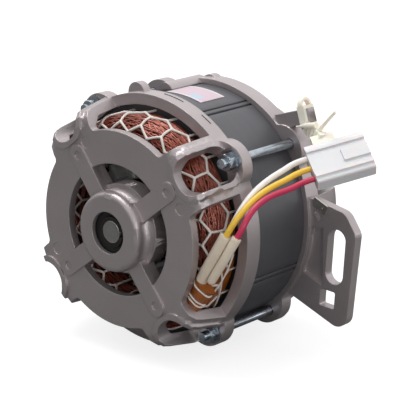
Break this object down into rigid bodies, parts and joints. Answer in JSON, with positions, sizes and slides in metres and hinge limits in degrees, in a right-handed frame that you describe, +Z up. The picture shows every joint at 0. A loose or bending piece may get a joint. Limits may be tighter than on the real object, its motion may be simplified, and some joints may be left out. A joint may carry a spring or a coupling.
{
  "type": "washing machine motor",
  "caption": "Electric motor with open cast end shields, laminated stator, wound coils, side flange, wired connector with clip, and a round drive shaft at the rear.",
  "frame": {"origin": "on the shaft's axis, at the drive shaft's seat in the plane of the rear hub's face", "axes": "+Y along the drive shaft, out of the rear of the motor; -Y is the front; +Z is up; +X is towards the mounting flange and the connector"},
  "size_m": [0.1772, 0.1544, 0.1398],
  "materials": {
    "amber_film": "glossy",
    "bearing_steel": "ground",
    "blank_label": "satin",
    "cast_aluminium": "fine die cast",
    "clip_nylon": "moulded",
    "enamelled_copper": "enamelled",
    "glass_sleeving": "varnished",
    "red_insulation": "satin",
    "rotor_aluminium": "cast",
    "rotor_steel": "satin",
    "shaft_steel": "ground",
    "slot_paper": "matte",
    "stack_steel": "satin",
    "tinned_brass": "tinned",
    "white_insulation": "satin",
    "white_nylon": "moulded",
    "yellow_insulation": "satin",
    "zinc_steel": "zinc plated"
  },
  "bodies": {
    "stator": {"front_shield": "cast_aluminium", "rear_shield": "cast_aluminium", "stator_stack": "stack_steel", "slot_liners": "slot_paper", "slot_windings": "enamelled_copper", "front_winding_core": "enamelled_copper", "rear_winding_core": "enamelled_copper", "front_end_winding": "enamelled_copper", "rear_end_winding": "enamelled_copper", "insulation_film": "amber_film", "front_bearing_outer": "bearing_steel", "rear_bearing_outer": "bearing_steel", "wave_washer": "shaft_steel", "through_bolts": "zinc_steel", "bolt_nuts": "zinc_steel", "bolt_washers": "zinc_steel", "earth_tab": "tinned_brass", "rating_label": "blank_label", "connector_housing": "white_nylon", "connector_terminals": "tinned_brass", "cable_clip": "clip_nylon", "lead_white": "white_insulation", "lead_yellow": "yellow_insulation", "lead_red": "red_insulation", "sleeve_wide": "glass_sleeving", "sleeve_narrow": "glass_sleeving"},
    "rotor": {"shaft": "shaft_steel", "rotor_core": "rotor_steel", "front_rotor_cage": "rotor_aluminium", "rear_rotor_cage": "rotor_aluminium", "front_bearing_inner": "bearing_steel", "rear_bearing_inner": "bearing_steel", "retaining_ring": "shaft_steel"},
    "front_ball_cage": {"front_ball_set": "bearing_steel"},
    "rear_ball_cage": {"rear_ball_set": "bearing_steel"}
  },
  "joints": [
    {"name": "rotor_spin", "type": "hinge", "parent": "stator", "child": "rotor", "pos_m": [0, 0, 0], "axis": [0, 1, 0], "continuous": true},
    {"name": "front_cage_spin", "type": "hinge", "parent": "stator", "child": "front_ball_cage", "pos_m": [0, 0, 0], "axis": [0, 1, 0], "continuous": true},
    {"name": "rear_cage_spin", "type": "hinge", "parent": "stator", "child": "rear_ball_cage", "pos_m": [0, 0, 0], "axis": [0, 1, 0], "continuous": true}
  ],
  "couplings": [
    {"joint": "front_cage_spin", "follows": "rotor_spin", "ratio": 0.3648},
    {"joint": "rear_cage_spin", "follows": "rotor_spin", "ratio": 0.3648}
  ]
}
